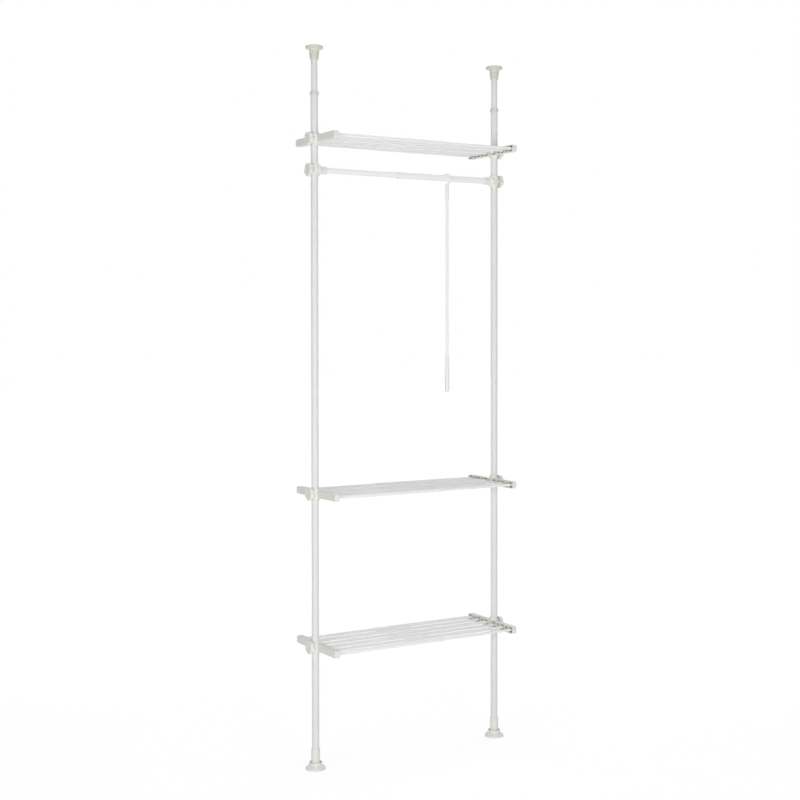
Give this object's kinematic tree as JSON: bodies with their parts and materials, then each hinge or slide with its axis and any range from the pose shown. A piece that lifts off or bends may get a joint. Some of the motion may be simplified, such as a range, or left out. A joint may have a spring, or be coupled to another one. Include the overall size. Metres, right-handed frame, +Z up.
{
  "type": "tension pole shelf unit",
  "caption": "Floor-to-ceiling rack on two spring-loaded telescoping poles, with clamp-on rod shelves, a telescoping hanger bar and a hook rod; width and heights adjust.",
  "frame": {"origin": "on the floor, midway between the two poles", "axes": "+Z up along the poles, +X from the left pole to the right one, -Y is the front"},
  "size_m": [0.82, 0.29, 2.495],
  "materials": {
    "white_steel": "smooth white powder coat",
    "ivory_plastic": "ivory moulded plastic",
    "white_plastic": "white moulded plastic",
    "grey_rubber": "grey non-slip rubber",
    "zinc_steel": "bright zinc plate"
  },
  "bodies": {
    "left_pole": {"left_lower_tube": "white_steel", "left_tube_collar": "ivory_plastic", "left_spring_seat": "ivory_plastic", "left_tension_spring": "zinc_steel"},
    "right_pole": {"right_lower_tube": "white_steel", "right_tube_collar": "ivory_plastic", "right_spring_seat": "ivory_plastic", "right_tension_spring": "zinc_steel"},
    "left_upper_pole": {"left_upper_tube": "white_steel", "left_guide_bush": "ivory_plastic", "left_ceiling_cap": "ivory_plastic", "left_ceiling_pad": "grey_rubber"},
    "left_sleeve": {"left_jack_sleeve": "ivory_plastic"},
    "left_foot": {"left_foot_base": "ivory_plastic", "left_foot_pad": "grey_rubber", "left_jack_screw": "zinc_steel"},
    "right_upper_pole": {"right_upper_tube": "white_steel", "right_guide_bush": "ivory_plastic", "right_ceiling_cap": "ivory_plastic", "right_ceiling_pad": "grey_rubber"},
    "right_sleeve": {"right_jack_sleeve": "ivory_plastic"},
    "right_foot": {"right_foot_base": "ivory_plastic", "right_foot_pad": "grey_rubber", "right_jack_screw": "zinc_steel"},
    "lower_shelf_left_half": {"lower_shelf_left_bracket": "ivory_plastic", "lower_shelf_left_rods": "white_steel"},
    "lower_shelf_left_clamp_shoe": {"lower_shelf_left_shoe": "ivory_plastic"},
    "lower_shelf_left_clamp_knob": {"lower_shelf_left_knob": "ivory_plastic"},
    "lower_shelf_right_half": {"lower_shelf_right_bracket": "ivory_plastic", "lower_shelf_right_rods": "white_steel"},
    "lower_shelf_right_clamp_shoe": {"lower_shelf_right_shoe": "ivory_plastic"},
    "lower_shelf_right_clamp_knob": {"lower_shelf_right_knob": "ivory_plastic"},
    "middle_shelf_left_half": {"middle_shelf_left_bracket": "ivory_plastic", "middle_shelf_left_rods": "white_steel"},
    "middle_shelf_left_clamp_shoe": {"middle_shelf_left_shoe": "ivory_plastic"},
    "middle_shelf_left_clamp_knob": {"middle_shelf_left_knob": "ivory_plastic"},
    "middle_shelf_right_half": {"middle_shelf_right_bracket": "ivory_plastic", "middle_shelf_right_rods": "white_steel"},
    "middle_shelf_right_clamp_shoe": {"middle_shelf_right_shoe": "ivory_plastic"},
    "middle_shelf_right_clamp_knob": {"middle_shelf_right_knob": "ivory_plastic"},
    "top_shelf_left_half": {"top_shelf_left_bracket": "ivory_plastic", "top_shelf_left_rods": "white_steel"},
    "top_shelf_left_clamp_shoe": {"top_shelf_left_shoe": "ivory_plastic"},
    "top_shelf_left_clamp_knob": {"top_shelf_left_knob": "ivory_plastic"},
    "top_shelf_right_half": {"top_shelf_right_bracket": "ivory_plastic", "top_shelf_right_rods": "white_steel"},
    "top_shelf_right_clamp_shoe": {"top_shelf_right_shoe": "ivory_plastic"},
    "top_shelf_right_clamp_knob": {"top_shelf_right_knob": "ivory_plastic"},
    "hanger_bar_left_half": {"hanger_bar_left_holder": "ivory_plastic", "hanger_bar_inner_tube": "white_steel"},
    "hanger_bar_left_clamp_shoe": {"hanger_bar_left_shoe": "ivory_plastic"},
    "hanger_bar_left_clamp_knob": {"hanger_bar_left_knob": "ivory_plastic"},
    "hanger_bar_right_half": {"hanger_bar_right_holder": "ivory_plastic", "hanger_bar_outer_tube": "white_steel", "hanger_bar_end_ring": "white_plastic"},
    "hanger_bar_right_clamp_shoe": {"hanger_bar_right_shoe": "ivory_plastic"},
    "hanger_bar_right_clamp_knob": {"hanger_bar_right_knob": "ivory_plastic"},
    "hook_rod": {"hook_rod_hook": "white_plastic", "hook_rod_tube": "white_steel", "hook_rod_grip": "white_plastic"}
  },
  "joints": [
    {"name": "width_slide", "type": "slide", "parent": "left_pole", "child": "right_pole", "axis": [1, 0, 0], "range_m": [-0.1, 0.2]},
    {"name": "left_pole_slide", "type": "slide", "parent": "left_pole", "child": "left_upper_pole", "axis": [0, 0, 1], "range_m": [-0.04, 0.08], "stiffness_N_per_m": 3000, "springref_m": 0.0009, "deforming": ["left_tension_spring"]},
    {"name": "left_sleeve_turn", "type": "hinge", "parent": "left_pole", "child": "left_sleeve", "pos_m": [-0.375, 0, 0.047], "axis": [0, 0, 1], "range_deg": [0, 1440]},
    {"name": "left_foot_jack", "type": "slide", "parent": "left_pole", "child": "left_foot", "axis": [0, 0, -1], "range_m": [0, 0.012]},
    {"name": "right_pole_slide", "type": "slide", "parent": "right_pole", "child": "right_upper_pole", "axis": [0, 0, 1], "range_m": [-0.04, 0.08], "stiffness_N_per_m": 3000, "springref_m": 0.0009, "deforming": ["right_tension_spring"]},
    {"name": "right_sleeve_turn", "type": "hinge", "parent": "right_pole", "child": "right_sleeve", "pos_m": [0.375, 0, 0.047], "axis": [0, 0, 1], "range_deg": [0, 1440]},
    {"name": "right_foot_jack", "type": "slide", "parent": "right_pole", "child": "right_foot", "axis": [0, 0, -1], "range_m": [0, 0.012]},
    {"name": "lower_shelf_left_slide", "type": "slide", "parent": "left_pole", "child": "lower_shelf_left_half", "axis": [0, 0, 1], "range_m": [-0.3, 0.24]},
    {"name": "lower_shelf_left_clamp_shoe", "type": "slide", "parent": "lower_shelf_left_half", "child": "lower_shelf_left_clamp_shoe", "axis": [-1, 0, 0], "range_m": [0, 0.00187]},
    {"name": "lower_shelf_left_clamp_knob_turn", "type": "hinge", "parent": "lower_shelf_left_clamp_shoe", "child": "lower_shelf_left_clamp_knob", "pos_m": [-0.397, 0, 0.4245], "axis": [-1, 0, 0], "range_deg": [0, 540]},
    {"name": "lower_shelf_right_slide", "type": "slide", "parent": "right_pole", "child": "lower_shelf_right_half", "axis": [0, 0, 1], "range_m": [-0.3, 0.24]},
    {"name": "lower_shelf_right_clamp_shoe", "type": "slide", "parent": "lower_shelf_right_half", "child": "lower_shelf_right_clamp_shoe", "axis": [1, 0, 0], "range_m": [0, 0.00187]},
    {"name": "lower_shelf_right_clamp_knob_turn", "type": "hinge", "parent": "lower_shelf_right_clamp_shoe", "child": "lower_shelf_right_clamp_knob", "pos_m": [0.397, 0, 0.4245], "axis": [1, 0, 0], "range_deg": [0, 540]},
    {"name": "middle_shelf_left_slide", "type": "slide", "parent": "left_pole", "child": "middle_shelf_left_half", "axis": [0, 0, 1], "range_m": [-0.24, 0.15]},
    {"name": "middle_shelf_left_clamp_shoe", "type": "slide", "parent": "middle_shelf_left_half", "child": "middle_shelf_left_clamp_shoe", "axis": [-1, 0, 0], "range_m": [0, 0.00187]},
    {"name": "middle_shelf_left_clamp_knob_turn", "type": "hinge", "parent": "middle_shelf_left_clamp_shoe", "child": "middle_shelf_left_clamp_knob", "pos_m": [-0.397, 0, 0.9545], "axis": [-1, 0, 0], "range_deg": [0, 540]},
    {"name": "middle_shelf_right_slide", "type": "slide", "parent": "right_pole", "child": "middle_shelf_right_half", "axis": [0, 0, 1], "range_m": [-0.24, 0.15]},
    {"name": "middle_shelf_right_clamp_shoe", "type": "slide", "parent": "middle_shelf_right_half", "child": "middle_shelf_right_clamp_shoe", "axis": [1, 0, 0], "range_m": [0, 0.00187]},
    {"name": "middle_shelf_right_clamp_knob_turn", "type": "hinge", "parent": "middle_shelf_right_clamp_shoe", "child": "middle_shelf_right_clamp_knob", "pos_m": [0.397, 0, 0.9545], "axis": [1, 0, 0], "range_deg": [0, 540]},
    {"name": "top_shelf_left_slide", "type": "slide", "parent": "left_pole", "child": "top_shelf_left_half", "axis": [0, 0, 1], "range_m": [-0.02, 0.12]},
    {"name": "top_shelf_left_clamp_shoe", "type": "slide", "parent": "top_shelf_left_half", "child": "top_shelf_left_clamp_shoe", "axis": [-1, 0, 0], "range_m": [0, 0.00187]},
    {"name": "top_shelf_left_clamp_knob_turn", "type": "hinge", "parent": "top_shelf_left_clamp_shoe", "child": "top_shelf_left_clamp_knob", "pos_m": [-0.397, 0, 2.177], "axis": [-1, 0, 0], "range_deg": [0, 540]},
    {"name": "top_shelf_right_slide", "type": "slide", "parent": "right_pole", "child": "top_shelf_right_half", "axis": [0, 0, 1], "range_m": [-0.02, 0.12]},
    {"name": "top_shelf_right_clamp_shoe", "type": "slide", "parent": "top_shelf_right_half", "child": "top_shelf_right_clamp_shoe", "axis": [1, 0, 0], "range_m": [0, 0.00187]},
    {"name": "top_shelf_right_clamp_knob_turn", "type": "hinge", "parent": "top_shelf_right_clamp_shoe", "child": "top_shelf_right_clamp_knob", "pos_m": [0.397, 0, 2.177], "axis": [1, 0, 0], "range_deg": [0, 540]},
    {"name": "hanger_bar_left_slide", "type": "slide", "parent": "left_pole", "child": "hanger_bar_left_half", "axis": [0, 0, 1], "range_m": [-0.15, 0.035]},
    {"name": "hanger_bar_left_clamp_shoe", "type": "slide", "parent": "hanger_bar_left_half", "child": "hanger_bar_left_clamp_shoe", "axis": [-1, 0, 0], "range_m": [0, 0.00187]},
    {"name": "hanger_bar_left_clamp_knob_turn", "type": "hinge", "parent": "hanger_bar_left_clamp_shoe", "child": "hanger_bar_left_clamp_knob", "pos_m": [-0.397, 0, 2.07], "axis": [-1, 0, 0], "range_deg": [0, 540]},
    {"name": "hanger_bar_right_slide", "type": "slide", "parent": "right_pole", "child": "hanger_bar_right_half", "axis": [0, 0, 1], "range_m": [-0.15, 0.035]},
    {"name": "hanger_bar_right_clamp_shoe", "type": "slide", "parent": "hanger_bar_right_half", "child": "hanger_bar_right_clamp_shoe", "axis": [1, 0, 0], "range_m": [0, 0.00187]},
    {"name": "hanger_bar_right_clamp_knob_turn", "type": "hinge", "parent": "hanger_bar_right_clamp_shoe", "child": "hanger_bar_right_clamp_knob", "pos_m": [0.397, 0, 2.07], "axis": [1, 0, 0], "range_deg": [0, 540]},
    {"name": "hook_swing", "type": "hinge", "parent": "hanger_bar_right_half", "child": "hook_rod", "pos_m": [0.167, 0, 2.07], "axis": [1, 0, 0], "range_deg": [-60, 60]}
  ],
  "couplings": [
    {"joint": "left_sleeve_turn", "follows": "left_foot_jack", "rad_per_m": 2094.4},
    {"joint": "right_sleeve_turn", "follows": "right_foot_jack", "rad_per_m": 2094.4},
    {"joint": "lower_shelf_left_clamp_shoe", "follows": "lower_shelf_left_clamp_knob_turn", "m_per_rad": 0.00019894},
    {"joint": "lower_shelf_right_slide", "follows": "lower_shelf_left_slide", "ratio": 1},
    {"joint": "lower_shelf_right_clamp_shoe", "follows": "lower_shelf_right_clamp_knob_turn", "m_per_rad": 0.00019894},
    {"joint": "middle_shelf_left_clamp_shoe", "follows": "middle_shelf_left_clamp_knob_turn", "m_per_rad": 0.00019894},
    {"joint": "middle_shelf_right_slide", "follows": "middle_shelf_left_slide", "ratio": 1},
    {"joint": "middle_shelf_right_clamp_shoe", "follows": "middle_shelf_right_clamp_knob_turn", "m_per_rad": 0.00019894},
    {"joint": "top_shelf_left_clamp_shoe", "follows": "top_shelf_left_clamp_knob_turn", "m_per_rad": 0.00019894},
    {"joint": "top_shelf_right_slide", "follows": "top_shelf_left_slide", "ratio": 1},
    {"joint": "top_shelf_right_clamp_shoe", "follows": "top_shelf_right_clamp_knob_turn", "m_per_rad": 0.00019894},
    {"joint": "hanger_bar_left_clamp_shoe", "follows": "hanger_bar_left_clamp_knob_turn", "m_per_rad": 0.00019894},
    {"joint": "hanger_bar_right_slide", "follows": "hanger_bar_left_slide", "ratio": 1},
    {"joint": "hanger_bar_right_clamp_shoe", "follows": "hanger_bar_right_clamp_knob_turn", "m_per_rad": 0.00019894}
  ]
}
